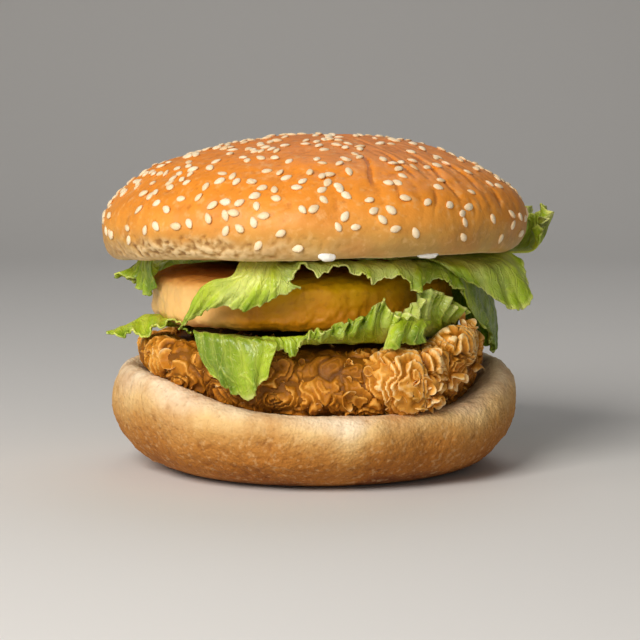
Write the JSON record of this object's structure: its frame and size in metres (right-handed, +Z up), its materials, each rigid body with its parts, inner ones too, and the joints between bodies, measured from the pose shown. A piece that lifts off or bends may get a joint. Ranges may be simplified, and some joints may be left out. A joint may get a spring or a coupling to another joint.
{
  "type": "chicken burger",
  "caption": "Sesame bun burger with a crispy chicken fillet, a golden battered round and ruffled lettuce hanging out at the sides.",
  "frame": {"origin": "centre of the heel's flat base, on the surface that the burger stands on", "axes": "+Z up through the stack, -Y towards the front that shows most of the fillet, +X to the right seen from the front"},
  "size_m": [0.1204, 0.1132, 0.0884],
  "materials": {
    "crust": "glazed golden crust with sesame seeds",
    "heel_crust": "matt floury bun crust, cream at the cut edge",
    "fillet_crust": "craggy fried crumb",
    "fritter_batter": "smooth fried batter, slightly oily",
    "lettuce": "moist leaf with pale ribs",
    "seed": "toasted sesame seed",
    "mayonnaise": "wet cream sauce"
  },
  "bodies": {
    "root": {"bun_crown": "crust", "bun_heel": "heel_crust", "chicken_fillet": "fillet_crust", "fritter": "fritter_batter", "lettuce_front_fold": "lettuce", "lettuce_front": "lettuce", "lettuce_right_blade": "lettuce", "lettuce_right_hanging": "lettuce", "lettuce_right_sprig": "lettuce", "lettuce_back_right": "lettuce", "lettuce_back_left": "lettuce", "lettuce_left": "lettuce", "lettuce_left_strip": "lettuce", "lettuce_hanging": "lettuce", "lettuce_middle": "lettuce", "lettuce_right_ruffle": "lettuce", "lettuce_back_low_right": "lettuce", "lettuce_back_low_left": "lettuce"}
  },
  "joints": []
}
